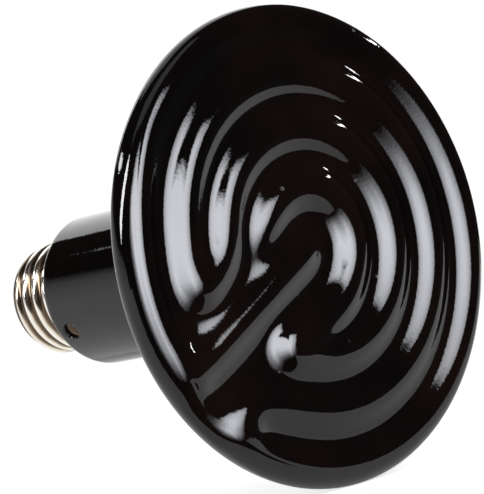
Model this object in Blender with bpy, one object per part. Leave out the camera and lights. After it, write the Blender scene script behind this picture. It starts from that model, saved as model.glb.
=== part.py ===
"""Ceramic heat emitter with an Edison screw cap.

A cast and glazed stoneware disc carries the heating coil under its face. The coil shows as one
raised ridge that winds over the face like a maze. Behind the disc a hollow neck holds the two
leads and ends in a spigot, and the screw cap is cemented on that spigot.

Every piece is modelled along its own axis, which runs from the cap's contact at 0 up to the face.
An empty then lays that axis level, so that the face looks along -Y.
"""
import math

import bmesh
import bpy
import numpy as np

MM = 0.001

# Driving sizes, in millimetres

# Gap between pieces that touch
FIT_GAP = 0.3

# Disc
DISC_DIAMETER = 105.0
BODY_LENGTH = 70.7            # neck's shoulder to the disc's widest circle
FRONT_ROUND = 4.0             # rounding from the rim ridge to the widest circle
BACK_ROUND = 4.2              # rounding from the widest circle to the back
BACK_SLOPE = 11.0             # degrees
FLARE_ROUND = 16.0            # hollow curve between the back and the neck
CENTRE_THICKNESS = 12.0       # face to the end of the neck's bore

# Ridge over the heating coil
RIDGE_HEIGHT = 2.6
RIDGE_SPREAD = 2.7            # standard deviation of its bell-shaped section
RIDGE_CROWN = 4.0             # how sharply a crowded stretch is held to the ridge's height
COIL_STEP = 1.0               # distance between the points that stand for the coil

# Neck
NECK_DIAMETER = 35.0
NECK_WALL = 4.7
SHOULDER_ROUND = 2.2
SEAT_DEPTH = 0.6              # shallow step in the neck's end that takes the cap's skirt
VENT_DIAMETER = 4.0
VENT_FROM_SHOULDER = 5.65
VENT_ANGLE = 208.0            # degrees round the axis, in line with the coil's spoke
VENT_COUNT = 2

# Spigot that carries the cap
SPIGOT_WALL = 2.9
WIRING_ROOM = 4.7             # insulator to the spigot's end
BORE_TAPER = 4.4              # length over which the bore opens out above the spigot

# Screw cap
CAP_LENGTH = 24.5             # contact to shoulder
THREAD_DIAMETER = 26.2
THREAD_DEPTH = 1.05
THREAD_PITCH = 3.629          # 7 turns to the inch
SHEET = 0.3                   # thickness of the drawn metal
SKIRT_LENGTH = 2.7
SKIRT_DIAMETER = 25.6
THREAD_FADE = 1.8             # length over which the thread rises at either end
MOUTH_DIAMETER = 20.4         # turned-in end of the shell
MOUTH_HEIGHT = 6.4            # contact to the turned-in end
MOUTH_ROUND = 1.7

# Insulator and contact
INSULATOR_TIP_DIAMETER = 11.6
INSULATOR_FLANGE = 1.6        # height of the flange held inside the shell
INSULATOR_BEVEL = 0.6
CONTACT_DIAMETER = 9.6
CONTACT_SHEET = 0.8
SOLDER_DIAMETER = 5.6
SOLDER_FLAT_DIAMETER = 3.0
SOLDER_HEIGHT = 1.2
WIRE_HOLE_DIAMETER = 2.4

# Leads
LEAD_DIAMETER = 1.2
LEAD_SPACING = 11.0           # between the two leads in the neck
SLEEVE_WALL = 1.0
SLEEVE_LENGTH = 26.0
SLEEVE_FROM_BORE_END = 4.0
WELD_DIAMETER = 2.6
WELD_HEIGHT = 1.2
WELD_FLAT = 0.6               # share of the weld's width that is flat
LEAD_BEND = 1.5               # distance over which a lead turns to its end

# Routes over the face: turns from the centre (4 is the rim), degrees, share of height
COIL_ROUTE = (
    (0.00, 208, 1.0), (3.55, 208, 1.0), (3.86, 206, 1.0), (4.00, 200, 1.0),
    (4.00, 165, 1.0), (4.00, 140, 0.55), (4.00, 62, 0.55), (4.00, 35, 1.0),
    (4.00, -129, 1.0), (3.95, -134, 1.0), (3.71, -137, 1.0), (3.43, -135, 1.0),
    (3.22, -129, 1.0), (3.08, -121, 1.0), (3.00, -112, 1.0),
    (3.00, 120, 1.0), (2.90, 172, 1.0), (2.94, 180, 1.0), (2.96, 186, 1.0),
    (2.85, 190, 1.0), (2.54, 187, 1.0), (2.25, 182, 1.0), (2.07, 175, 1.0),
    (2.00, 168, 1.0), (2.00, -110, 1.0), (2.09, -116, 1.0), (2.02, -122, 1.0),
    (1.72, -119, 1.0), (1.39, -105, 1.0), (1.21, -80, 1.0), (1.13, -61, 1.0),
    (1.03, -40, 1.0), (1.00, -25, 1.0), (1.00, 130, 1.0), (1.10, 151, 1.0),
)
RIM_LINK = ((4.00, 231, 0.45), (4.00, 200, 0.45))         # the low rim between the coil's ends
COIL_TURNS = 4

# Fineness of the meshes
RIM_SEGMENTS = 128            # halved on the neck, and again inside it
MIDDLE_SEGMENTS = 16
SHELL_SEGMENTS = 36
SMALL_SEGMENTS = 24
SLEEVE_SEGMENTS = 16
FACE_STEP = 1.8
NARROWEST_FACE = 1.49         # where the face's rings get narrower faces, they halve
ARC_STEP = 20.0               # degrees
THREAD_ROWS = 6               # rows of faces for each pitch

# Sizes that follow from the ones above
DISC_RADIUS = DISC_DIAMETER / 2
RIM_RIDGE_RADIUS = DISC_RADIUS - FRONT_ROUND
TURN_PITCH = RIM_RIDGE_RADIUS / COIL_TURNS
WIDEST_HEIGHT = CAP_LENGTH + BODY_LENGTH
FACE_TOP = WIDEST_HEIGHT + FRONT_ROUND
FACE_FLOOR = FACE_TOP - RIDGE_HEIGHT
NECK_RADIUS = NECK_DIAMETER / 2
NECK_BORE_RADIUS = NECK_RADIUS - NECK_WALL
BORE_END = FACE_FLOOR - CENTRE_THICKNESS
SHELL_OUTER = THREAD_DIAMETER / 2
SHELL_CORE = SHELL_OUTER - THREAD_DEPTH - SHEET          # narrowest inside the shell
SEAT_RADIUS = SHELL_OUTER + FIT_GAP
SEAT_HEIGHT = CAP_LENGTH + SEAT_DEPTH
SHELL_TOP = SEAT_HEIGHT - FIT_GAP
SPIGOT_RADIUS = SHELL_CORE - FIT_GAP
SPIGOT_BORE_RADIUS = SPIGOT_RADIUS - SPIGOT_WALL
CONTACT_BOTTOM = SOLDER_HEIGHT + FIT_GAP
INSULATOR_BOTTOM = CONTACT_BOTTOM + CONTACT_SHEET + FIT_GAP
INSULATOR_SEAT = MOUTH_HEIGHT + SHEET + FIT_GAP + MOUTH_ROUND
INSULATOR_TOP = INSULATOR_SEAT + INSULATOR_FLANGE
SPIGOT_END = INSULATOR_TOP + WIRING_ROOM
WIRE_RADIUS = LEAD_DIAMETER / 2


def clear_scene():
    """Remove whatever the scene holds at the start."""
    for old in list(bpy.data.objects):
        bpy.data.objects.remove(old, do_unlink=True)


def material(name, colour, roughness, metallic=0.0):
    """A Principled material with one colour."""
    made = bpy.data.materials.new(name)
    made.use_nodes = True
    shader = made.node_tree.nodes["Principled BSDF"]
    shader.inputs["Base Color"].default_value = (*colour, 1.0)
    shader.inputs["Roughness"].default_value = roughness
    shader.inputs["Metallic"].default_value = metallic
    made.diffuse_color = (*colour, 1.0)
    return made


def add_object(name, bm, axis, made_of=None, sharp_degrees=35.0):
    """Turn a bmesh, drawn in millimetres, into a smooth-shaded object under the axis empty."""
    bmesh.ops.scale(bm, vec=(MM, MM, MM), verts=bm.verts)
    bmesh.ops.recalc_face_normals(bm, faces=bm.faces)
    mesh = bpy.data.meshes.new(name)
    bm.to_mesh(mesh)
    bm.free()
    mesh.shade_smooth()
    mesh.set_sharp_from_angle(angle=math.radians(sharp_degrees))
    if made_of:
        mesh.materials.append(made_of)
    made = bpy.data.objects.new(name, mesh)
    bpy.context.scene.collection.objects.link(made)
    made.parent = axis
    return made


def arc(centre, radius, start, end, step=ARC_STEP):
    """Points of an arc in the (radius, height) plane, both ends included, angles in degrees."""
    count = max(2, math.ceil(abs(end - start) / step))
    angles = (math.radians(start + (end - start) * i / count) for i in range(count + 1))
    return [(centre[0] + radius * math.cos(a), centre[1] + radius * math.sin(a)) for a in angles]


def add_ring(bm, radius, height, count):
    """A ring of vertices; height is a number or a function of x and y."""
    ring = []
    for i in range(count):
        angle = 2 * math.pi * i / count
        x, y = radius * math.cos(angle), radius * math.sin(angle)
        ring.append(bm.verts.new((x, y, height(x, y) if callable(height) else height)))
    return ring


def join_rings(bm, fine, coarse):
    """Faces between two rings, of equal counts or with the first at twice the second."""
    count = len(coarse)
    if len(fine) == count:
        for i in range(count):
            j = (i + 1) % count
            bm.faces.new((fine[i], fine[j], coarse[j], coarse[i]))
        return
    for i in range(count):
        a, b, c = fine[2 * i], fine[2 * i + 1], fine[(2 * i + 2) % len(fine)]
        low, high = coarse[i], coarse[(i + 1) % count]
        bm.faces.new((a, b, low))
        bm.faces.new((b, high, low))
        bm.faces.new((b, c, high))


def turned(profile, count):
    """A closed turned solid. The outline starts and ends on the axis, or is a closed loop."""
    bm = bmesh.new()
    on_axis = profile[0][0] == 0
    rings = [add_ring(bm, r, z, count) for r, z in (profile[1:-1] if on_axis else profile)]
    for one, other in zip(rings, rings[1:]):
        join_rings(bm, one, other)
    if on_axis:
        for ring, (_, z) in ((rings[0], profile[0]), (rings[-1], profile[-1])):
            tip = bm.verts.new((0, 0, z))
            for i in range(count):
                bm.faces.new((ring[i], ring[(i + 1) % count], tip))
    else:
        join_rings(bm, rings[-1], rings[0])
    return bm


def route_points(route):
    """Points along a route: x, y, and the length each stands for times its share of height."""
    turns, degrees, shares = (np.array(column, float) for column in zip(*route))
    points = []
    for k in range(len(turns) - 1):
        mean_radius = TURN_PITCH * (turns[k] + turns[k + 1]) / 2
        swept = math.radians(degrees[k + 1] - degrees[k]) * mean_radius
        length = math.hypot(swept, TURN_PITCH * (turns[k + 1] - turns[k]))
        count = max(1, round(length / COIL_STEP))
        share = (np.arange(count) + 0.5) / count
        radius = TURN_PITCH * (turns[k] + share * (turns[k + 1] - turns[k]))
        angle = np.radians(degrees[k] + share * (degrees[k + 1] - degrees[k]))
        weight = (shares[k] + share * (shares[k + 1] - shares[k])) * length / count
        points.append(np.stack((radius * np.cos(angle), radius * np.sin(angle), weight), axis=1))
    return np.concatenate(points)


def face_height(coil):
    """The face's height at x, y: a bell-shaped ridge along the coil, on a flat floor."""
    scale = 1 / (RIDGE_SPREAD * math.sqrt(2 * math.pi))

    def height(x, y):
        apart = (coil[:, 0] - x) ** 2 + (coil[:, 1] - y) ** 2
        ridge = scale * float(np.sum(coil[:, 2] * np.exp(-apart / (2 * RIDGE_SPREAD ** 2))))
        held = ridge / (1 + ridge ** RIDGE_CROWN) ** (1 / RIDGE_CROWN)
        return FACE_FLOOR + RIDGE_HEIGHT * held / 2 ** (-1 / RIDGE_CROWN)

    return height


def add_face(bm, height):
    """The face from its middle out to the rim ridge. Returns its outermost ring."""
    steps = math.ceil(RIM_RIDGE_RADIUS / FACE_STEP)
    middle = bm.verts.new((0, 0, height(0, 0)))
    inner = None
    for k in range(1, steps + 1):
        radius = RIM_RIDGE_RADIUS * k / steps
        count = RIM_SEGMENTS
        while count > MIDDLE_SEGMENTS and 2 * math.pi * radius / count < NARROWEST_FACE:
            count //= 2
        ring = add_ring(bm, radius, height, count)
        if inner:
            join_rings(bm, ring, inner)
        else:
            for i in range(count):
                bm.faces.new((ring[i], ring[(i + 1) % count], middle))
        inner = ring
    return inner


def add_front_edge(bm, crest):
    """The rounding from the rim ridge down to the widest circle. Returns that circle."""
    last = crest
    steps = math.ceil(90 / ARC_STEP)
    for k in range(1, steps + 1):
        angle = math.radians(90 * k / steps)
        radius = RIM_RIDGE_RADIUS + FRONT_ROUND * math.sin(angle)
        ring = []
        for vertex in crest:
            out = math.atan2(vertex.co.y, vertex.co.x)
            z = WIDEST_HEIGHT + (vertex.co.z - WIDEST_HEIGHT) * math.cos(angle)
            ring.append(bm.verts.new((radius * math.cos(out), radius * math.sin(out), z)))
        join_rings(bm, last, ring)
        last = ring
    return last


def back_outline():
    """Outlines of the disc's back edge and of the back with the flare, in to the neck."""
    slope = math.radians(BACK_SLOPE)
    edge = arc((DISC_RADIUS - BACK_ROUND, WIDEST_HEIGHT), BACK_ROUND, 0, BACK_SLOPE - 90)
    edge_r, edge_z = edge[-1]
    flare_r = NECK_RADIUS + FLARE_ROUND
    tangent_r = flare_r - FLARE_ROUND * math.sin(slope)
    tangent_z = edge_z - (edge_r - tangent_r) * math.tan(slope)
    centre = (flare_r, tangent_z - FLARE_ROUND * math.cos(slope))
    middle = ((edge_r + tangent_r) / 2, (edge_z + tangent_z) / 2)
    return edge[1:], [middle] + arc(centre, FLARE_ROUND, 90 + BACK_SLOPE, 180)


def neck_outline():
    """Outlines of the neck's shoulder and of the seat, spigot and bore, in to the bore's end."""
    round_centre = (NECK_RADIUS - SHOULDER_ROUND, CAP_LENGTH + SHOULDER_ROUND)
    shoulder = arc(round_centre, SHOULDER_ROUND, 360, 270, 30)
    seat = [(SEAT_RADIUS, CAP_LENGTH), (SEAT_RADIUS, SEAT_HEIGHT)]
    spigot = [(SPIGOT_RADIUS, SEAT_HEIGHT), (SPIGOT_RADIUS, SPIGOT_END),
              (SPIGOT_BORE_RADIUS, SPIGOT_END), (SPIGOT_BORE_RADIUS, CAP_LENGTH)]
    dome_round = NECK_BORE_RADIUS / 2
    dome = arc((NECK_BORE_RADIUS - dome_round, BORE_END - dome_round), dome_round, 0, 90, 30)
    bore = [(NECK_BORE_RADIUS, CAP_LENGTH + BORE_TAPER)] + dome
    return shoulder, seat + spigot + bore


def ceramic_body(axis, glaze):
    """The disc, flare, hollow neck and spigot: one cast and glazed piece."""
    bm = bmesh.new()
    routes = np.concatenate([route_points(COIL_ROUTE), route_points(RIM_LINK)])
    last = add_front_edge(bm, add_face(bm, face_height(routes)))
    edge, flare = back_outline()
    shoulder, inside = neck_outline()
    parts = ((edge, RIM_SEGMENTS), (flare + shoulder, RIM_SEGMENTS // 2), (inside, RIM_SEGMENTS // 4))
    for outline, count in parts:
        for r, z in outline:
            ring = add_ring(bm, r, z, count)
            join_rings(bm, last, ring)
            last = ring
    middle = bm.verts.new((0, 0, BORE_END))
    for i in range(len(last)):
        bm.faces.new((last[i], last[(i + 1) % len(last)], middle))
    body = add_object("ceramic_body", bm, axis, glaze)
    for k in range(VENT_COUNT):
        cut_vent(body, axis, k)
    return body


def cut_vent(body, axis, number):
    """Cut one vent hole through the neck's wall."""
    middle = (NECK_RADIUS + NECK_BORE_RADIUS) / 2 * MM
    turn = math.radians(VENT_ANGLE + 360 * number / VENT_COUNT)
    bm = bmesh.new()
    bmesh.ops.create_cone(bm, cap_ends=True, segments=20, radius1=VENT_DIAMETER / 2,
                          radius2=VENT_DIAMETER / 2, depth=NECK_WALL * 2)
    cutter = add_object(f"vent_cutter_{number + 1}", bm, axis)
    cutter.location = (middle * math.cos(turn), middle * math.sin(turn),
                       (CAP_LENGTH + VENT_FROM_SHOULDER) * MM)
    cutter.rotation_euler = (0, math.radians(90), turn)
    cutter.hide_render = True
    cutter.display_type = "WIRE"
    cut = body.modifiers.new(f"vent_{number + 1}", "BOOLEAN")
    cut.operation = "DIFFERENCE"
    cut.solver = "EXACT"
    cut.object = cutter


def thread_radius(angle, height, low, high):
    """Outer radius of the rolled thread at an angle round the axis and a height."""
    root = SHELL_OUTER - THREAD_DEPTH
    rise = min(1.0, max(0.0, (height - low) / THREAD_FADE), max(0.0, (high - height) / THREAD_FADE))
    wave = 0.5 + 0.5 * math.cos(2 * math.pi * height / THREAD_PITCH - angle)
    plain = SKIRT_DIAMETER / 2 if height > (low + high) / 2 else root
    threaded = root + THREAD_DEPTH * wave
    return plain + (threaded - plain) * rise


def screw_shell(axis, nickel):
    """The rolled shell: a plain skirt, the thread, and an end turned in to hold the insulator."""
    bm = bmesh.new()
    root = SHELL_OUTER - THREAD_DEPTH
    low = MOUTH_HEIGHT + MOUTH_ROUND
    high = SHELL_TOP - SKIRT_LENGTH
    rows = round((high - low) / THREAD_PITCH * THREAD_ROWS)
    mouth = arc((root - MOUTH_ROUND, low), MOUTH_ROUND, 270, 360, 30)
    rings = {"outside": [], "inside": []}
    for r, z in [(MOUTH_DIAMETER / 2, MOUTH_HEIGHT)] + mouth[:-1]:
        rings["outside"].append(add_ring(bm, r, z, SHELL_SEGMENTS))
    inner_mouth = arc((root - MOUTH_ROUND, low), MOUTH_ROUND - SHEET, 270, 360, 30)
    for r, z in [(MOUTH_DIAMETER / 2, MOUTH_HEIGHT + SHEET)] + inner_mouth[:-1]:
        rings["inside"].append(add_ring(bm, r, z, SHELL_SEGMENTS))
    heights = [low + (high - low) * k / rows for k in range(rows + 1)]
    for height in heights + [SHELL_TOP]:
        for side, inward in (("outside", 0.0), ("inside", SHEET)):
            ring = []
            for i in range(SHELL_SEGMENTS):
                angle = 2 * math.pi * i / SHELL_SEGMENTS
                r = thread_radius(angle, height, low, high) - inward
                ring.append(bm.verts.new((r * math.cos(angle), r * math.sin(angle), height)))
            rings[side].append(ring)
    loop = rings["outside"] + rings["inside"][::-1]
    for one, other in zip(loop, loop[1:] + loop[:1]):
        join_rings(bm, one, other)
    return add_object("screw_shell", bm, axis, nickel)


def cap_cement(axis, cement):
    """The ring of cement between the spigot and the shell's skirt."""
    inner = SPIGOT_RADIUS + FIT_GAP
    outer = SKIRT_DIAMETER / 2 - SHEET - FIT_GAP
    low = SHELL_TOP - SKIRT_LENGTH + FIT_GAP
    outline = [(outer, SHELL_TOP), (outer, low), (inner, low), (inner, SHELL_TOP)]
    return add_object("cap_cement", turned(outline, SMALL_SEGMENTS), axis, cement)


def cap_insulator(axis, glass):
    """The moulded insulator: a cone outside the shell and a flange held inside it."""
    hole = WIRE_HOLE_DIAMETER / 2
    waist = MOUTH_DIAMETER / 2 - FIT_GAP
    flange = SHELL_CORE - FIT_GAP
    tip = INSULATOR_TIP_DIAMETER / 2
    outline = [
        (hole, INSULATOR_BOTTOM), (tip - INSULATOR_BEVEL, INSULATOR_BOTTOM),
        (tip, INSULATOR_BOTTOM + INSULATOR_BEVEL), (waist, MOUTH_HEIGHT - FIT_GAP),
        (waist, INSULATOR_SEAT), (flange, INSULATOR_SEAT),
        (flange, INSULATOR_TOP - INSULATOR_BEVEL), (flange - INSULATOR_BEVEL, INSULATOR_TOP),
        (hole, INSULATOR_TOP),
    ]
    return add_object("cap_insulator", turned(outline, SMALL_SEGMENTS), axis, glass)


def centre_contact(axis, brass):
    """The contact plate, with its edge rounded and a hole for the lead."""
    outer, hole = CONTACT_DIAMETER / 2, WIRE_HOLE_DIAMETER / 2
    edge = arc((outer - CONTACT_SHEET / 2, CONTACT_BOTTOM + CONTACT_SHEET / 2),
               CONTACT_SHEET / 2, 270, 450, 45)
    outline = [(hole, CONTACT_BOTTOM)] + edge + [(hole, CONTACT_BOTTOM + CONTACT_SHEET)]
    return add_object("centre_contact", turned(outline, SMALL_SEGMENTS), axis, brass)


def contact_solder(axis, solder):
    """The solder that covers the lead's end, worn flat where the lamp holder's spring presses."""
    flat, wide = SOLDER_FLAT_DIAMETER / 2, SOLDER_DIAMETER / 2
    dome = [(flat + (wide - flat) * math.sin(math.radians(d)),
             SOLDER_HEIGHT * (1 - math.cos(math.radians(d)))) for d in (0, 22, 45, 67, 90)]
    outline = [(0, 0)] + dome + [(0, SOLDER_HEIGHT)]
    return add_object("contact_solder", turned(outline, SMALL_SEGMENTS), axis, solder)


def lead(name, axis, metal, points):
    """A lead wire: a round tube along a smooth curve through the points, in millimetres."""
    curve = bpy.data.curves.new(name, "CURVE")
    curve.dimensions = "3D"
    curve.bevel_depth = WIRE_RADIUS * MM
    curve.bevel_resolution = 2
    curve.use_fill_caps = True
    curve.resolution_u = 4
    spline = curve.splines.new("BEZIER")
    spline.bezier_points.add(len(points) - 1)
    for place, point in zip(spline.bezier_points, points):
        place.co = [value * MM for value in point]
        place.handle_left_type = place.handle_right_type = "AUTO"
    curve.materials.append(metal)
    made = bpy.data.objects.new(name, curve)
    bpy.context.scene.collection.objects.link(made)
    made.parent = axis
    return made


def sleeve(name, axis, ceramic, side):
    """A ceramic tube that keeps a lead clear of the neck's wall."""
    inner = WIRE_RADIUS + FIT_GAP
    outer = inner + SLEEVE_WALL
    high = BORE_END - SLEEVE_FROM_BORE_END
    low = high - SLEEVE_LENGTH
    outline = [(outer, high), (outer, low), (inner, low), (inner, high)]
    made = add_object(name, turned(outline, SLEEVE_SEGMENTS), axis, ceramic)
    made.location.x = side * LEAD_SPACING / 2 * MM
    return made


def leads(axis, nickel, ceramic, solder):
    """Two leads from the coil to the cap, their sleeves, and the weld inside the shell."""
    x = LEAD_SPACING / 2
    top = BORE_END - FIT_GAP
    lead("lead_centre", axis, nickel, [
        (x, 0, top), (x, 0, (top + CAP_LENGTH) / 2), (x, 0, CAP_LENGTH),
        (x / 2, 0, (CAP_LENGTH + INSULATOR_TOP) / 2), (0, 0, INSULATOR_TOP + LEAD_BEND),
        (0, 0, INSULATOR_BOTTOM), (0, 0, SOLDER_HEIGHT + FIT_GAP)])
    weld_radius = SHELL_CORE - FIT_GAP
    weld_height = (INSULATOR_TOP + SPIGOT_END) / 2
    lead("lead_side", axis, nickel, [
        (-x, 0, top), (-x, 0, (top + CAP_LENGTH) / 2), (-x, 0, CAP_LENGTH),
        (-x, 0, weld_height + LEAD_BEND), (-x - LEAD_BEND, 0, weld_height),
        (-(weld_radius - WELD_HEIGHT - FIT_GAP), 0, weld_height)])
    for name, side in (("lead_sleeve_centre", 1), ("lead_sleeve_side", -1)):
        sleeve(name, axis, ceramic, side)
    half = WELD_DIAMETER / 2
    outline = [(0, 0), (half, 0), (half * WELD_FLAT, WELD_HEIGHT), (0, WELD_HEIGHT)]
    bead = turned(outline, SLEEVE_SEGMENTS)
    weld = add_object("side_weld", bead, axis, solder)
    weld.location = (-weld_radius * MM, 0, weld_height * MM)
    weld.rotation_euler = (0, math.radians(90), 0)


def build():
    """Make every piece and lay the axis level."""
    clear_scene()
    axis = bpy.data.objects.new("emitter_axis", None)
    bpy.context.scene.collection.objects.link(axis)
    glaze = material("black_glaze", (0.012, 0.010, 0.011), 0.08)
    nickel = material("nickel_plate", (0.66, 0.60, 0.52), 0.25, 1.0)
    lead_metal = material("lead_nickel", (0.55, 0.53, 0.50), 0.35, 1.0)
    brass = material("contact_brass", (0.72, 0.55, 0.28), 0.3, 1.0)
    solder = material("solder", (0.62, 0.62, 0.60), 0.4, 1.0)
    cement = material("cement", (0.62, 0.58, 0.50), 0.9)
    glass = material("insulator_glass", (0.02, 0.02, 0.025), 0.2)
    ceramic = material("white_ceramic", (0.80, 0.78, 0.72), 0.7)
    ceramic_body(axis, glaze)
    screw_shell(axis, nickel)
    cap_cement(axis, cement)
    cap_insulator(axis, glass)
    centre_contact(axis, brass)
    contact_solder(axis, solder)
    leads(axis, lead_metal, ceramic, solder)
    axis.rotation_euler = (math.radians(90), 0, 0)


build()
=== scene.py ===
import math

import bpy
import numpy as np
from mathutils import Matrix, Vector


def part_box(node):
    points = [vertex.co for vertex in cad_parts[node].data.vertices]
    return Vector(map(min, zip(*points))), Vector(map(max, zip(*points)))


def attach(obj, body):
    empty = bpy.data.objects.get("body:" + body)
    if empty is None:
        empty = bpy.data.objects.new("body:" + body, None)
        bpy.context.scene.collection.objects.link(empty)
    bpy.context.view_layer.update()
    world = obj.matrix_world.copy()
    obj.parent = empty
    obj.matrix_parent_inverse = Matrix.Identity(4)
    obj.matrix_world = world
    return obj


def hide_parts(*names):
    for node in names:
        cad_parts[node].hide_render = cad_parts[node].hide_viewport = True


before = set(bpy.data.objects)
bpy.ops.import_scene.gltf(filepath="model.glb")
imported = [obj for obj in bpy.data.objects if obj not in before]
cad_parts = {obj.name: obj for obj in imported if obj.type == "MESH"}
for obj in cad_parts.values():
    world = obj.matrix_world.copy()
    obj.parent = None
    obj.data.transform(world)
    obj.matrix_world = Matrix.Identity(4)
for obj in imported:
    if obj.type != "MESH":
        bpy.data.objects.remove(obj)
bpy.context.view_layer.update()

# Ceramic body
# The disc, the hollow neck and the spigot are one piece of stoneware, cast round the heating coil.
# It is dipped in a black glaze and fired; the coil shows as one long ridge that winds over the face.
MM = 0.001
body_low, body_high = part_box("ceramic_body")
DISC_RADIUS = body_high.x / MM
FRONT_ROUND = 4.0             # rounding from the rim ridge to the widest circle
BACK_ROUND = 4.2
BACK_SLOPE = 11.0             # degrees
FLARE_ROUND = 16.0            # hollow curve between the back and the neck
CENTRE_THICKNESS = 12.0
CAP_LENGTH = 24.5             # contact to the neck's shoulder
BODY_LENGTH = 70.7            # shoulder to the disc's widest circle
NECK_RADIUS = 17.5
NECK_WALL = 4.7
SHOULDER_ROUND = 2.2
SEAT_RADIUS = 13.4            # the step round the spigot where the cap sits
SEAT_DEPTH = 0.6
SPIGOT_RADIUS = 11.48
SPIGOT_BORE_RADIUS = 8.58
SPIGOT_END = 15.0
BORE_TAPER = 4.4
RIDGE_HEIGHT = 2.4
RIDGE_SPREAD = 2.85           # standard deviation of its bell-shaped section
RIDGE_CROWN = 4.0             # how sharply a crowded stretch is held to the ridge's height
COIL_STEP = 1.0               # distance between the points that stand for the coil
COIL_TURNS = 4

# Routes over the face: turns from the centre (4 is the rim), degrees, share of height
COIL_ROUTE = (
    (0.00, 208, 0.9), (3.55, 208, 0.9), (3.86, 206, 1.0), (4.00, 200, 1.0),
    (4.00, 165, 1.0), (4.00, 140, 0.55), (4.00, 80, 0.55), (4.00, 50, 1.0), (4.00, 10, 1.1),
    (4.00, -25, 0.85), (4.00, -90, 0.9), (4.00, -125, 0.9), (3.94, -130, 0.95), (3.75, -133, 0.95),
    (3.48, -133, 0.95), (3.24, -128, 0.95), (3.08, -120, 0.9), (3.00, -110, 0.85),
    (3.02, -60, 0.8), (3.04, -20, 0.8), (3.06, 15, 1.1), (3.06, 60, 1.3), (3.04, 90, 1.1),
    (3.01, 120, 0.9), (2.90, 172, 0.75), (2.94, 180, 0.75), (2.96, 186, 0.75),
    (2.85, 190, 0.75), (2.54, 187, 0.75), (2.25, 182, 0.75), (2.07, 175, 0.8),
    (2.00, 168, 0.85), (2.03, 120, 0.9), (2.06, 90, 1.1), (2.08, 60, 1.3), (2.08, 15, 1.1),
    (2.06, -20, 0.8), (2.04, -60, 0.8), (2.00, -111, 0.9), (2.10, -119, 1.0), (2.04, -124, 1.0),
    (1.80, -119, 1.1), (1.50, -106, 1.1), (1.28, -83, 1.0), (1.16, -61, 1.0),
    (1.08, -40, 0.9), (1.06, -25, 0.95), (1.06, 60, 1.25), (1.05, 130, 1.0), (1.12, 151, 0.9),
    (1.24, 168, 0.5), (1.36, 188, 0.15),
)
RIM_LINK = ((4.00, 231, 0.45), (4.00, 200, 0.45))         # the low rim between the coil's ends

FACE_RINGS = 104
RING_GAIN = 6                 # how many more points a ring of the face has than the one inside it
FINE_ARC = 6.0                # degrees between rings on the outer roundings
FLARE_ARC = 4.0               # degrees between rings on the flare
COARSE_ARC = 10.0             # degrees between rings on roundings that are hidden or small
ROW_STEP = 1.2                # distance between rings on the back and the neck
SHARP_EDGE = 40.0             # degrees past which an edge stays crisp
GLAZED, BARE = 0, 1           # numbers of the body's two finishes

RIM_RIDGE_RADIUS = DISC_RADIUS - FRONT_ROUND
TURN_PITCH = RIM_RIDGE_RADIUS / COIL_TURNS
WIDEST_HEIGHT = CAP_LENGTH + BODY_LENGTH
FACE_FLOOR = WIDEST_HEIGHT + FRONT_ROUND - RIDGE_HEIGHT
NECK_BORE_RADIUS = NECK_RADIUS - NECK_WALL
BORE_END = FACE_FLOOR - CENTRE_THICKNESS
HIGHEST_CREST = -body_low.y / MM


def ring(radius, height, count):
    """A ring of points round the emitter's axis, in millimetres, height measured from the contact."""
    angle = np.arange(count) * 2 * math.pi / count
    x, y = radius * np.cos(angle), radius * np.sin(angle)
    z = height(x, y) if callable(height) else np.zeros(count) + height
    return np.stack((x, y, z), axis=1)


def strip(before, after, start_before, start_after):
    """Triangles between two rings of any counts, walked round together."""
    a, b = len(after), len(before)
    faces = []
    i = j = 0
    while i < a or (j < b and b > 1):
        if b == 1 or (i < a and (i + 1) * b <= (j + 1) * a):
            faces.append((start_after + i % a, start_after + (i + 1) % a, start_before + j % b))
            i += 1
        else:
            faces.append((start_after + i % a, start_before + (j + 1) % b, start_before + j % b))
            j += 1
    return faces


def lay_level(points):
    """From the emitter's own axis, contact at 0 and face up, to the level axis: metres."""
    return np.stack((points[:, 0], -points[:, 2], points[:, 1]), axis=1) * MM


def ring_object(name, rings, closed=False, finish=None):
    """One closed mesh from a chain of rings; finish gives each ring's material number."""
    starts = np.cumsum([0] + [len(one) for one in rings])
    faces, slots = [], []
    pairs = list(zip(range(len(rings) - 1), range(1, len(rings))))
    for before, after in pairs + ([(len(rings) - 1, 0)] if closed else []):
        if len(rings[after]) > 1:
            added = strip(rings[before], rings[after], starts[before], starts[after])
        else:
            turned = strip(rings[after], rings[before], starts[after], starts[before])
            added = [face[::-1] for face in turned]
        faces += added
        slots += [finish[after] if finish else 0] * len(added)
    mesh = bpy.data.meshes.new(name)
    mesh.from_pydata(lay_level(np.concatenate(rings)).tolist(), [], faces)
    mesh.polygons.foreach_set("material_index", slots)
    mesh.shade_smooth()
    mesh.set_sharp_from_angle(angle=math.radians(SHARP_EDGE))
    made = bpy.data.objects.new(name, mesh)
    bpy.context.scene.collection.objects.link(made)
    return made


def arc(centre, radius, start, end, step=FINE_ARC):
    """Points of an arc in the (radius, height) plane, both ends included, angles in degrees."""
    count = max(2, math.ceil(abs(end - start) / step))
    angles = np.radians(np.linspace(start, end, count + 1))
    return [(centre[0] + radius * math.cos(a), centre[1] + radius * math.sin(a)) for a in angles]


def line(start, end, step=ROW_STEP):
    """Points from start to end in the (radius, height) plane, without the first."""
    count = max(1, math.ceil(math.dist(start, end) / step))
    shares = [k / count for k in range(1, count + 1)]
    return [(start[0] + (end[0] - start[0]) * s, start[1] + (end[1] - start[1]) * s) for s in shares]


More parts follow.
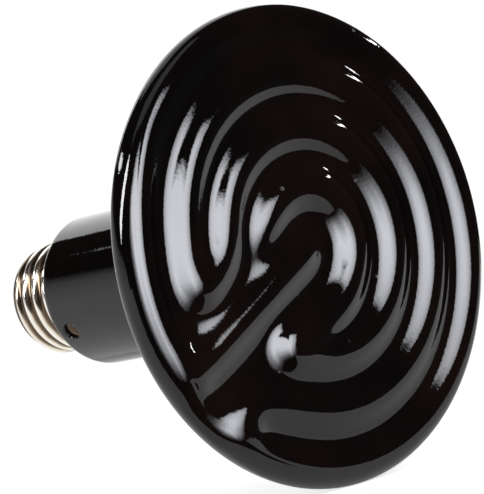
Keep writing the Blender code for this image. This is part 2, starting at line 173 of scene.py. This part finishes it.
def route_points(route):
    """Points along a route: x, y, and the length each stands for times its share of height."""
    turns, degrees, shares = (np.array(column, float) for column in zip(*route))
    points = []
    for k in range(len(turns) - 1):
        mean_radius = TURN_PITCH * (turns[k] + turns[k + 1]) / 2
        swept = math.radians(degrees[k + 1] - degrees[k]) * mean_radius
        length = math.hypot(swept, TURN_PITCH * (turns[k + 1] - turns[k]))
        count = max(1, round(length / COIL_STEP))
        share = (np.arange(count) + 0.5) / count
        radius = TURN_PITCH * (turns[k] + share * (turns[k + 1] - turns[k]))
        angle = np.radians(degrees[k] + share * (degrees[k + 1] - degrees[k]))
        weight = (shares[k] + share * (shares[k + 1] - shares[k])) * length / count
        points.append(np.stack((radius * np.cos(angle), radius * np.sin(angle), weight), axis=1))
    return np.concatenate(points)


coil = np.concatenate([route_points(COIL_ROUTE), route_points(RIM_LINK)])


def face_height(x, y):
    """The face's height at arrays x, y: a bell-shaped ridge along the coil, on a flat floor."""
    apart = (coil[:, 0] - x[:, None]) ** 2 + (coil[:, 1] - y[:, None]) ** 2
    bells = coil[:, 2] * np.exp(-apart / (2 * RIDGE_SPREAD ** 2))
    ridge = bells.sum(axis=1) / (RIDGE_SPREAD * math.sqrt(2 * math.pi))
    held = ridge / (1 + ridge ** RIDGE_CROWN) ** (1 / RIDGE_CROWN)
    held_alone = 2 ** (-1 / RIDGE_CROWN)                  # what a stretch far from others is held to
    return np.minimum(FACE_FLOOR + RIDGE_HEIGHT * held / held_alone, HIGHEST_CREST)


def front_rings():
    """Rings over the face from its middle to the rim ridge, then round the front edge."""
    rings = [ring(0.0, face_height, 1)]
    for k in range(1, FACE_RINGS + 1):
        rings.append(ring(RIM_RIDGE_RADIUS * k / FACE_RINGS, face_height, RING_GAIN * k))
    crest = rings[-1]
    for angle in np.radians(np.linspace(0, 90, round(90 / FINE_ARC) + 1))[1:]:
        edge = crest.copy()
        edge[:, :2] *= (RIM_RIDGE_RADIUS + FRONT_ROUND * math.sin(angle)) / RIM_RIDGE_RADIUS
        edge[:, 2] = WIDEST_HEIGHT + (crest[:, 2] - WIDEST_HEIGHT) * math.cos(angle)
        rings.append(edge)
    return rings


def back_profile():
    """The glazed outline from the widest circle over the back and the flare to the shoulder."""
    slope = math.radians(BACK_SLOPE)
    edge = arc((DISC_RADIUS - BACK_ROUND, WIDEST_HEIGHT), BACK_ROUND, 0, BACK_SLOPE - 90)
    centre_radius = NECK_RADIUS + FLARE_ROUND
    meeting_radius = centre_radius - FLARE_ROUND * math.sin(slope)
    meeting_height = edge[-1][1] - (edge[-1][0] - meeting_radius) * math.tan(slope)
    centre = (centre_radius, meeting_height - FLARE_ROUND * math.cos(slope))
    flare = arc(centre, FLARE_ROUND, 90 + BACK_SLOPE, 180, FLARE_ARC)
    shoulder = arc((NECK_RADIUS - SHOULDER_ROUND, CAP_LENGTH + SHOULDER_ROUND), SHOULDER_ROUND, 360, 270)
    return edge[1:], line(edge[-1], flare[0]) + flare[1:] + line(flare[-1], shoulder[0]) + shoulder[1:]


def inner_profile():
    """The bare outline: the seat for the cap, the spigot and the bore, in to the bore's end."""
    seat = CAP_LENGTH + SEAT_DEPTH
    dome_round = NECK_BORE_RADIUS / 2
    dome = arc((NECK_BORE_RADIUS - dome_round, BORE_END - dome_round), dome_round, 0, 90, COARSE_ARC)
    return [(SEAT_RADIUS, CAP_LENGTH), (SEAT_RADIUS, seat), (SPIGOT_RADIUS, seat),
            (SPIGOT_RADIUS, SPIGOT_END), (SPIGOT_BORE_RADIUS, SPIGOT_END),
            (SPIGOT_BORE_RADIUS, CAP_LENGTH), (NECK_BORE_RADIUS, CAP_LENGTH + BORE_TAPER)] + dome


front = front_rings()
edge_profile, back = back_profile()
inside = inner_profile()
rim_count = len(front[-1])
body_rings = front + [ring(r, z, rim_count) for r, z in edge_profile]
body_rings += [ring(r, z, rim_count // 2) for r, z in back]
glazed_count = len(body_rings) + 1                        # the seat's edge is the last glazed ring
body_rings += [ring(r, z, rim_count // 4) for r, z in inside] + [ring(0.0, BORE_END, 1)]
finishes = [GLAZED] * glazed_count + [BARE] * (len(body_rings) - glazed_count)
body = ring_object("glazed_body", body_rings, finish=finishes)


def node_adder(tree):
    """A function that adds a node of a kind, with its settings and its inputs by name or number."""

    def add(kind, settings=None, **inputs):
        node = tree.nodes.new("ShaderNode" + kind)
        for key, value in (settings or {}).items():
            setattr(node, key, value)
        for key, value in inputs.items():
            socket = node.inputs[int(key[1:])] if key[0] == "_" else node.inputs[key.replace("_", " ")]
            if isinstance(value, bpy.types.NodeSocket):
                tree.links.new(value, socket)
            else:
                socket.default_value = value
        return node

    return add


def new_material(name):
    """A material, its Principled shader, a function that adds nodes, and one that links them to it."""
    made = bpy.data.materials.new(name)
    made.use_nodes = True
    tree = made.node_tree
    shader = tree.nodes["Principled BSDF"]

    def link(source, socket):
        tree.links.new(source, shader.inputs[socket])

    return made, shader, node_adder(tree), link


def noise(add, place, scale, detail):
    """Cloudy noise from 0 to 1."""
    return add("TexNoise", Vector=place, Scale=scale, Detail=detail).outputs["Fac"]


def ramp(add, source, stops):
    """A colour ramp through (place, colour) stops."""
    node = add("ValToRGB", Fac=source)
    elements = node.color_ramp.elements
    while len(elements) > len(stops):
        elements.remove(elements[-1])
    while len(elements) < len(stops):
        elements.new(0.5)
    for element, (place, colour) in zip(elements, stops):
        element.position = place
        element.color = (*colour, 1.0) if isinstance(colour, tuple) else (colour, colour, colour, 1.0)
    return node.outputs["Color"]


def multiplied(add, first, second):
    """The product of two sockets or numbers."""
    return add("Math", {"operation": "MULTIPLY"}, _0=first, _1=second).outputs[0]


def summed(add, *terms):
    """The sum of (socket, factor) terms."""
    total = multiplied(add, *terms[0])
    for socket, factor in terms[1:]:
        total = add("Math", {"operation": "MULTIPLY_ADD"}, _0=socket, _1=factor, _2=total).outputs[0]
    return total


def raised(add, height):
    """The normal of a surface raised by a height in metres."""
    return add("Bump", Strength=1.0, Distance=1.0, Height=height).outputs["Normal"]


def black_glaze():
    """Black iron glaze: deep gloss, brown where it runs thin, with orange peel, waves and a few pits."""
    made, shader, add, link = new_material("black_glaze")
    place = add("TexCoord").outputs["Object"]
    peel = noise(add, place, 1500.0, 2.0)
    waves = noise(add, place, 130.0, 1.0)
    patches = noise(add, place, 36.0, 3.0)
    cells = add("TexVoronoi", Vector=place, Scale=105.0, Randomness=1.0).outputs["Distance"]
    pits = ramp(add, cells, ((0.0, 1.0), (0.045, 0.9), (0.075, 0.0)))
    black_to_brown = ((0.4, (0.0022, 0.0016, 0.0020)), (0.72, (0.0072, 0.0038, 0.0033)))
    link(ramp(add, patches, black_to_brown), "Base Color")
    link(summed(add, (patches, 0.05), (pits, 0.25)), "Roughness")
    link(raised(add, summed(add, (peel, 1.1e-5), (waves, 4.0e-5), (pits, -2.0e-5))), "Normal")
    shader.inputs["IOR"].default_value = 1.5
    return made


def bare_stoneware():
    """Unglazed fired clay: buff, speckled with iron, rough to the touch."""
    made, _, add, link = new_material("bare_stoneware")
    place = add("TexCoord").outputs["Object"]
    clay = noise(add, place, 260.0, 4.0)
    grain = noise(add, place, 1800.0, 3.0)
    specks = add("TexVoronoi", Vector=place, Scale=900.0).outputs["Distance"]
    buff = ramp(add, clay, ((0.3, (0.60, 0.44, 0.31)), (0.7, (0.80, 0.67, 0.53))))
    speckled = ramp(add, specks, ((0.12, 1.0), (0.2, 0.0)))
    mixed = add("Mix", {"data_type": "RGBA"}, _0=speckled, _6=buff, _7=(0.16, 0.07, 0.035, 1.0))
    link(mixed.outputs[2], "Base Color")
    link(ramp(add, grain, ((0.3, 0.75), (0.7, 0.95))), "Roughness")
    link(raised(add, multiplied(add, grain, 4.0e-5)), "Normal")
    return made


body.data.materials.append(black_glaze())
body.data.materials.append(bare_stoneware())

# Vent holes
# Two holes are bored through the neck's wall before firing, on opposite sides, and let hot air out of
# the neck. The glaze rounds their mouths and runs a little way in.
VENT_RADIUS = 2.0
VENT_MOUTH_ROUND = 0.55
VENT_MOUTH_ROWS = 6
VENT_GLAZE_DEPTH = 1.35       # how far the glaze ran in
VENT_CUT_OUT = 1.5            # how far the cutter reaches past the wall's outside
VENT_CUT_IN = -2 * NECK_WALL  # and how far in, well past the wall's inside
VENT_FROM_SHOULDER = 5.65
VENT_ANGLE = 208.0
VENT_COUNT = 2
VENT_SEGMENTS = 48


def cut_vent(number):
    """Cut one vent hole with a trumpet-shaped mouth through the neck's wall."""
    turn = math.radians(VENT_ANGLE + 360 * number / VENT_COUNT)
    mouth = [(VENT_RADIUS + VENT_MOUTH_ROUND * (1 - math.cos(a)), VENT_MOUTH_ROUND * (math.sin(a) - 1))
             for a in np.radians(np.linspace(0, 90, VENT_MOUTH_ROWS + 1))]
    profile = [(VENT_RADIUS + VENT_MOUTH_ROUND, VENT_CUT_OUT)] + mouth[::-1]
    profile += [(VENT_RADIUS, -VENT_GLAZE_DEPTH), (VENT_RADIUS, VENT_CUT_IN)]
    rings = [ring(0.0, VENT_CUT_OUT, 1)] + [ring(r, z, VENT_SEGMENTS) for r, z in profile]
    rings.append(ring(0.0, VENT_CUT_IN, 1))
    for one in rings:
        out, across, along = one[:, 2] + NECK_RADIUS, one[:, 0].copy(), one[:, 1].copy()
        one[:, 0] = out * math.cos(turn) - across * math.sin(turn)
        one[:, 1] = out * math.sin(turn) + across * math.cos(turn)
        one[:, 2] = along + CAP_LENGTH + VENT_FROM_SHOULDER
    slots = [GLAZED] * (len(rings) - 2) + [BARE] * 2
    cutter = ring_object(f"vent_cutter_{number}", rings, finish=slots)
    for surface in body.data.materials:
        cutter.data.materials.append(surface)
    cut = body.modifiers.new("vent", "BOOLEAN")
    cut.operation = "DIFFERENCE"
    cut.solver = "EXACT"
    cut.object = cutter
    bpy.context.view_layer.objects.active = body
    bpy.ops.object.modifier_apply(modifier="vent")
    bpy.data.objects.remove(cutter)


for number in range(VENT_COUNT):
    cut_vent(number)
body.data.set_sharp_from_angle(angle=math.radians(SHARP_EDGE))
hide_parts("ceramic_body")
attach(body, "root")

# Screw shell
# The cap's shell is drawn from thin brass sheet, its thread is rolled in, and it is nickel plated.
# Its plain skirt is cemented in the neck's seat, and its other end is turned in over the insulator.
THREAD_RADIUS = 13.1
THREAD_DEPTH = 1.05
THREAD_PITCH = 3.629
SHEET = 0.3
SKIRT_LENGTH = 2.7
SKIRT_RADIUS = 12.8
THREAD_FADE = 1.8             # length over which the thread rises at either end
MOUTH_RADIUS = 10.2
MOUTH_HEIGHT = 6.4
MOUTH_ROUND = 1.7
SHELL_SEGMENTS = 192
SHELL_ROW = 0.17              # distance between rings along the shell
FIT_GAP = 0.3                 # between the skirt's end and the seat
SKIRT_SHADE = 0.2             # how much painted shade the plain skirt gets, where a thread's root is 1
SHELL_TOP = CAP_LENGTH + SEAT_DEPTH - FIT_GAP
THREAD_LOW = MOUTH_HEIGHT + MOUTH_ROUND
THREAD_HIGH = SHELL_TOP - SKIRT_LENGTH
THREAD_ROOT = THREAD_RADIUS - THREAD_DEPTH


def thread_ring(height, inward):
    """A ring of the shell at a height, with the rolled thread fading out at both ends."""
    to_end = min(height - THREAD_LOW, THREAD_HIGH - height)
    rise = min(1.0, max(0.0, to_end / THREAD_FADE))
    rise = rise * rise * (3 - 2 * rise)
    angle = np.arange(SHELL_SEGMENTS) * 2 * math.pi / SHELL_SEGMENTS
    wave = 0.5 + 0.5 * np.cos(2 * math.pi * height / THREAD_PITCH - angle)
    plain = SKIRT_RADIUS if height > (THREAD_LOW + THREAD_HIGH) / 2 else THREAD_ROOT
    radius = plain + (THREAD_ROOT + THREAD_DEPTH * wave - plain) * rise - inward
    level = np.full(SHELL_SEGMENTS, height)
    return np.stack((radius * np.cos(angle), radius * np.sin(angle), level), axis=1)


def shell_side(inward):
    """Rings of one side of the sheet, from the skirt's end down to the turned-in mouth."""
    rows = math.ceil((SHELL_TOP - THREAD_LOW) / SHELL_ROW)
    heights = [SHELL_TOP + (THREAD_LOW - SHELL_TOP) * k / rows for k in range(rows + 1)]
    mouth = arc((THREAD_ROOT - MOUTH_ROUND, THREAD_LOW), MOUTH_ROUND - inward, 360, 270, COARSE_ARC)[1:]
    lip = (MOUTH_RADIUS, MOUTH_HEIGHT + inward)
    turned_in = [ring(r, z, SHELL_SEGMENTS) for r, z in mouth + [lip]]
    return [thread_ring(height, inward) for height in heights] + turned_in


def nickel_plate():
    """Bright nickel over rolled brass: fine lines from the rolling, painted shade darkening the thread's
    roots, and random blotches.
    """
    made, shader, add, link = new_material("nickel_plate")
    place = add("TexCoord").outputs["Object"]
    along = add("Mapping", Vector=place, Scale=(1.0, 14.0, 1.0)).outputs["Vector"]
    lines = noise(add, along, 420.0, 3.0)
    blotches = noise(add, place, 300.0, 3.0)
    root = add("Attribute", {"attribute_name": "thread_root"}).outputs["Fac"]
    # Painted shade: the colour darkens towards the thread's roots, where the thread_root mask is high; the
    # blotches add random tone.
    root_shade_and_blotches = summed(add, (root, 0.85), (blotches, 0.25))
    bright_to_shaded = (
        (0.16, (0.96, 0.92, 0.85)), (0.38, (0.86, 0.79, 0.68)), (0.52, (0.42, 0.34, 0.25)),
        (0.72, (0.12, 0.085, 0.06)),
    )
    link(ramp(add, root_shade_and_blotches, bright_to_shaded), "Base Color")
    link(summed(add, (blotches, 0.18), (root, 0.10), (lines, 0.08)), "Roughness")
    link(raised(add, summed(add, (lines, 2.5e-6), (blotches, 1.2e-5))), "Normal")
    shader.inputs["Metallic"].default_value = 1.0
    return made


shell = ring_object("threaded_shell", shell_side(0.0) + shell_side(SHEET)[::-1], closed=True)
points = np.zeros(len(shell.data.vertices) * 3)
shell.data.vertices.foreach_get("co", points)
points = points.reshape(-1, 3) / MM
# The thread_root mask for the painted shade: how deep each point lies in a root, with a little on the plain
# skirt.
depth = np.clip((THREAD_RADIUS - np.hypot(points[:, 0], points[:, 2])) / THREAD_DEPTH, 0, 1)
depth[-points[:, 1] > THREAD_HIGH] = SKIRT_SHADE
shell.data.attributes.new("thread_root", "FLOAT", "POINT").data.foreach_set("value", depth)
shell.data.materials.append(nickel_plate())
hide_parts("screw_shell")
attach(shell, "root")

# Cement, insulator and contact
# Lamp cement holds the skirt on the spigot. A moulded glass insulator fills the shell's mouth and
# carries a pressed brass contact, which is soldered over the end of the centre lead.
SOLID_SHARP_EDGE = 35.0       # degrees past which an edge of a solid stays crisp
GRAIN_SCALE = 6               # how many times finer the grain is than the clouds of colour


def dress(node, surface):
    """Give a solid that keeps its own shape its finish."""
    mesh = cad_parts[node].data
    mesh.materials.clear()
    mesh.materials.append(surface)
    mesh.shade_smooth()
    mesh.set_sharp_from_angle(angle=math.radians(SOLID_SHARP_EDGE))


def simple_material(name, light, dark, scale, rough, grain, metallic=0.0):
    """A finish that varies between two colours, with a fine grain in its surface."""
    made, shader, add, link = new_material(name)
    place = add("TexCoord").outputs["Object"]
    cloud = noise(add, place, scale, 4.0)
    fine = noise(add, place, scale * GRAIN_SCALE, 2.0)
    link(ramp(add, cloud, ((0.3, dark), (0.7, light))), "Base Color")
    link(ramp(add, cloud, ((0.3, rough[1]), (0.7, rough[0]))), "Roughness")
    link(raised(add, multiplied(add, fine, grain)), "Normal")
    shader.inputs["Metallic"].default_value = metallic
    return made


dress("cap_cement", simple_material(
    "lamp_cement", light=(0.62, 0.58, 0.50), dark=(0.45, 0.41, 0.34), scale=500.0,
    rough=(0.85, 0.95), grain=5.0e-5))
dress("cap_insulator", simple_material(
    "insulator_glass", light=(0.022, 0.022, 0.028), dark=(0.010, 0.010, 0.013), scale=250.0,
    rough=(0.08, 0.2), grain=4.0e-6))
dress("centre_contact", simple_material(
    "contact_brass", light=(0.74, 0.56, 0.28), dark=(0.55, 0.38, 0.17), scale=350.0,
    rough=(0.2, 0.38), grain=3.0e-6, metallic=1.0))
solder = simple_material(
    "solder", light=(0.66, 0.66, 0.64), dark=(0.42, 0.42, 0.41), scale=600.0,
    rough=(0.25, 0.5), grain=1.2e-5, metallic=1.0)
dress("contact_solder", solder)
dress("side_weld", solder)

# Leads
# Two nickel wires run from the coil down the hollow neck, each in a white ceramic sleeve.
# One ends under the contact's solder, and the other is welded inside the shell.
lead_nickel = simple_material(
    "lead_nickel", light=(0.62, 0.60, 0.56), dark=(0.42, 0.40, 0.37), scale=700.0,
    rough=(0.25, 0.45), grain=3.0e-6, metallic=1.0)
white_ceramic = simple_material(
    "white_ceramic", light=(0.84, 0.82, 0.76), dark=(0.70, 0.67, 0.60), scale=400.0,
    rough=(0.6, 0.8), grain=2.0e-5)
for node in ("lead_centre", "lead_side"):
    dress(node, lead_nickel)
for node in ("lead_sleeve_centre", "lead_sleeve_side"):
    dress(node, white_ceramic)

# Studio
# A white board under the disc's edge, a white surround, and a dark drape that only reflections see.
# The board ends close in front of the disc, so the face sees the drape and the lit cloths past its edge.
BOARD_CORNERS = (
    (-1.20, -0.30), (-0.30, -0.150), (-0.10, -0.110), (-0.002, -0.120), (0.012, -0.185),
    (0.10, -0.188), (0.40, -0.205), (0.80, -0.150), (0.80, 0.80), (-1.20, 0.80),
)
FLOOR_HEIGHT = body_low.z
BOARD_GLOW = 0.7              # what the board adds where the camera sees it
BOARD_SHEEN = 0.25            # what it adds in reflections
DISC_CENTRE = Vector((0.0, -WIDEST_HEIGHT * MM, 0.0))
AMBIENT = 0.4                 # the surround's strength on matt surfaces
CLOTH_ROWS = 12               # squares from a cloth's low edge to its high edge
CLOTH_LIFT = 0.0005           # how far a laid cloth is above the board
KEY_PLACE = (-9, 30, 0.8)     # the lamp's azimuth, elevation and distance
KEY_WIDTH = 0.9
KEY_POWER = 4.8


def strength_by_ray(add, camera, glossy, other=0.0):
    """A strength for rays from the camera and through glass, one for reflected rays, one for the rest."""
    ray = add("LightPath").outputs
    seen = add("Math", {"operation": "MAXIMUM"}, _0=ray["Is Camera Ray"], _1=ray["Is Transmission Ray"])
    unseen = add("MapRange", Value=ray["Is Glossy Ray"], To_Min=other, To_Max=glossy)
    strength = add("MapRange", Value=seen.outputs[0], To_Min=unseen.outputs["Result"], To_Max=camera)
    return strength.outputs["Result"]


def show_surface(made, shader_socket):
    """Make a shader the surface of a material."""
    tree = made.node_tree
    tree.links.new(shader_socket, tree.nodes["Material Output"].inputs["Surface"])


def white_surround():
    """A white world: full strength where it is seen, lower where it lights matt surfaces."""
    world = bpy.data.worlds.new("white_surround")
    world.use_nodes = True
    tree = world.node_tree
    background = tree.nodes["Background"]
    strength = strength_by_ray(node_adder(tree), 1.0, 1.0, AMBIENT)
    tree.links.new(strength, background.inputs["Strength"])
    background.inputs["Color"].default_value = (1.0, 1.0, 1.0, 1.0)
    bpy.context.scene.world = world


def white_board():
    """The board: matt white that takes the shadow, and a plain white glow where it is seen."""
    mesh = bpy.data.meshes.new("white_board")
    points = [(x, y, FLOOR_HEIGHT) for x, y in BOARD_CORNERS]
    mesh.from_pydata(points, [], [tuple(range(len(points)))])
    board = bpy.data.objects.new("white_board", mesh)
    bpy.context.scene.collection.objects.link(board)
    made, matt, add, _ = new_material("white_board")
    matt.inputs["Base Color"].default_value = (0.9, 0.9, 0.9, 1.0)
    matt.inputs["Roughness"].default_value = 0.9
    matt.inputs["Specular IOR Level"].default_value = 0.0
    glow = add("Emission", Strength=strength_by_ray(add, BOARD_GLOW, BOARD_SHEEN))
    both = add("AddShader", _0=matt.outputs["BSDF"], _1=glow.outputs["Emission"])
    show_surface(made, both.outputs["Shader"])
    mesh.materials.append(made)


def toward(azimuth, elevation, distance):
    """A point seen from the disc's centre; azimuth 0 is straight ahead of the face, 90 is +X."""
    a, e = math.radians(azimuth), math.radians(elevation)
    way = Vector((math.sin(a) * math.cos(e), -math.cos(a) * math.cos(e), math.sin(e)))
    return DISC_CENTRE + way * distance


def hung(distance):
    """Cloth points hung round the disc, from azimuth and elevation."""
    return lambda azimuth, elevation: toward(azimuth, elevation, distance)


def laid(x, y):
    """Cloth points laid on the board."""
    return Vector((x, y, FLOOR_HEIGHT + CLOTH_LIFT))


def cloth(name, columns, placed, radiance, tint=(1.0, 1.0, 1.0), across=((0.0, 1.0),), up=((0.0, 1.0),)):
    """A cloth that only reflections see. Its columns are (place along it, low edge, high edge),
    and across and up are stops of (place, share) by which its light varies."""
    first, last = columns[0][0], columns[-1][0]
    points, places = [], []
    for along, low, high in columns:
        for row in range(CLOTH_ROWS + 1):
            points.append(placed(along, low + (high - low) * row / CLOTH_ROWS))
            places.append(((along - first) / (last - first), row / CLOTH_ROWS))
    step = CLOTH_ROWS + 1
    faces = [(k * step + row, (k + 1) * step + row, (k + 1) * step + row + 1, k * step + row + 1)
             for k in range(len(columns) - 1) for row in range(CLOTH_ROWS)]
    mesh = bpy.data.meshes.new(name)
    mesh.from_pydata(points, [], faces)
    layer = mesh.uv_layers.new(name="cloth")
    for corner in mesh.loops:
        layer.data[corner.index].uv = places[corner.vertex_index]
    sheet = bpy.data.objects.new(name, mesh)
    bpy.context.scene.collection.objects.link(sheet)
    sheet.visible_camera = False
    sheet.visible_diffuse = False
    sheet.visible_transmission = False
    sheet.visible_shadow = False
    made, _, add, _ = new_material(name)
    apart = add("SeparateXYZ", Vector=add("TexCoord").outputs["UV"]).outputs
    lit = multiplied(add, ramp(add, apart["X"], across), radiance)
    strength = multiplied(add, ramp(add, apart["Y"], up), lit)
    glow = add("Emission", Color=(*tint, 1.0), Strength=strength)
    show_surface(made, glow.outputs["Emission"])
    mesh.materials.append(made)


def eased(corners, step=4.0):
    """Columns about a step apart along the straight stretches between the corner columns."""
    columns = []
    for before, after in zip(corners, corners[1:]):
        count = max(1, round((after[0] - before[0]) / step))
        for k in range(count):
            columns.append(tuple(a + (b - a) * k / count for a, b in zip(before, after)))
    return columns + [corners[-1]]


white_surround()
white_board()
cloth("drape", eased([(-190, 16, 48), (-150, 14, 62), (-130, 8, 88), (-100, 3, 88), (-90, -5, 88),
                      (-84, -80, 88), (100, -80, 88), (107, -80, 60), (117, -80, 45), (124, -80, 35),
                      (132, -80, 15), (137, -80, 5)]),
      hung(1.3), radiance=0.03, tint=(1.0, 0.75, 0.65))
cloth("backdrop", eased([(118, 46, 60), (126, 32, 60), (134, 12, 60), (140, 5, 60), (178, 5, 60)]),
      hung(1.25), radiance=2.0)
cloth("horizon_cloth", eased([(-200, -5, 20), (-150, -5, 19), (-130, -5, 14), (-102, -5, 10), (-92, -5, 6)]),
      hung(1.2), radiance=0.93, up=((0.0, 1.0), (0.45, 0.85), (0.75, 0.6), (1.0, 0.06)))
cloth("key_cloth", eased([(-54, -24, 12), (-48, -30, 20), (-40, -32, 28), (-30, -34, 33), (-20, -34, 37),
                          (-10, -33, 38), (-6, -33, 31), (-1, -32, 25), (2, -31, 26), (6, -29, 34),
                          (12, -25, 35), (20, -19, 28), (27, -7, 21)], step=2.0),
      hung(0.30), radiance=16.0, tint=(0.92, 0.94, 1.0),
      across=((0.0, 0.02), (0.075, 0.15), (0.15, 0.35), (0.235, 0.85), (0.31, 1.0), (0.42, 0.95),
              (0.6, 1.0), (0.69, 0.95), (0.79, 0.85), (0.89, 0.65), (0.96, 0.45), (1.0, 0.25)),
      up=((0.0, 0.0), (0.1, 0.09), (0.2, 0.3), (0.3, 0.55), (0.42, 0.85), (0.56, 1.0), (0.85, 0.95),
          (0.93, 0.6), (1.0, 0.05)))
cloth("left_cloth", eased([(-102, 14, 24), (-92, 20, 34), (-80, 30, 42), (-70, 37, 47), (-60, 42, 48)]),
      hung(0.8), radiance=21.0)
cloth("rear_strip", eased([(-158, 32, 36), (-140, 35, 42), (-118, 42, 46)]),
      hung(0.8), radiance=14.0, across=((0.0, 0.1), (0.4, 1.0), (0.8, 0.8), (1.0, 0.3)))
cloth("overhead_cloth", eased([(-58, 50, 56), (-40, 54, 66), (-5, 46, 70), (12, 50, 68), (40, 60, 68)]),
      hung(1.0), radiance=0.6, tint=(0.95, 0.96, 1.0))
# Painted shade: a dark sheet on the floor past the board's front edge, standing for the table in shade in
# front of the disc; only reflections see it.
cloth("painted_floor_shade", eased([(0.13, -0.30, -0.191), (0.35, -0.50, -0.204), (0.80, -0.50, -0.151)], step=0.05),
      laid, radiance=0.035)
# Painted light: a bright sheet on the board behind and right of the disc, standing for the table lit there
# by a lamp from behind; only reflections see it.
cloth("painted_board_light", eased([(0.02, -0.085, -0.06), (0.10, -0.085, 0.02), (0.30, -0.080, 0.10),
                           (0.50, -0.080, 0.15)], step=0.05),
      laid, radiance=2.2)
cloth("rear_left_cloth", eased([(-1.19, -0.11, 0.79), (-0.06, -0.095, 0.79), (0.02, -0.08, 0.79)], step=0.1),
      laid, radiance=0.95)
cloth("right_glint", eased([(72, 22.3, 23.9), (92, 22.7, 24.3)]), hung(0.8), radiance=18.0)

key = bpy.data.objects.new("key_light", bpy.data.lights.new("key_light", "AREA"))
key.data.size = KEY_WIDTH
key.data.energy = KEY_POWER
key.location = toward(*KEY_PLACE)
key.rotation_euler = (DISC_CENTRE - key.location).to_track_quat("-Z", "Y").to_euler()
key.visible_glossy = False
key.visible_camera = False
bpy.context.scene.collection.objects.link(key)

# Camera
# The photograph looks at the disc from the left of its axis, with the camera rolled to the right.
# Its place and lens follow from the disc's outline, the neck's edges and the size of the thread.
CAMERA_PLACE = (-0.4454, -0.5603, 0.0)
CAMERA_HEADING = 42.57        # degrees from +Y towards +X
CAMERA_RISE = 0.21
CAMERA_ROLL = 12.08
FOCAL_PIXELS = 3000.0
SENSOR_WIDTH = 36.0           # millimetres
PHOTO_HEIGHT = 494            # pixels

camera = bpy.data.objects.new("camera", bpy.data.cameras.new("camera"))
camera.data.sensor_width = SENSOR_WIDTH
camera.data.lens = FOCAL_PIXELS * SENSOR_WIDTH / PHOTO_HEIGHT
turned = (Matrix.Rotation(math.radians(-CAMERA_HEADING), 4, "Z")
          @ Matrix.Rotation(math.radians(90 + CAMERA_RISE), 4, "X")
          @ Matrix.Rotation(math.radians(-CAMERA_ROLL), 4, "Z"))
camera.matrix_world = Matrix.Translation(CAMERA_PLACE) @ turned
bpy.context.scene.collection.objects.link(camera)
bpy.context.scene.camera = camera
bpy.context.scene.view_settings.view_transform = "Standard"
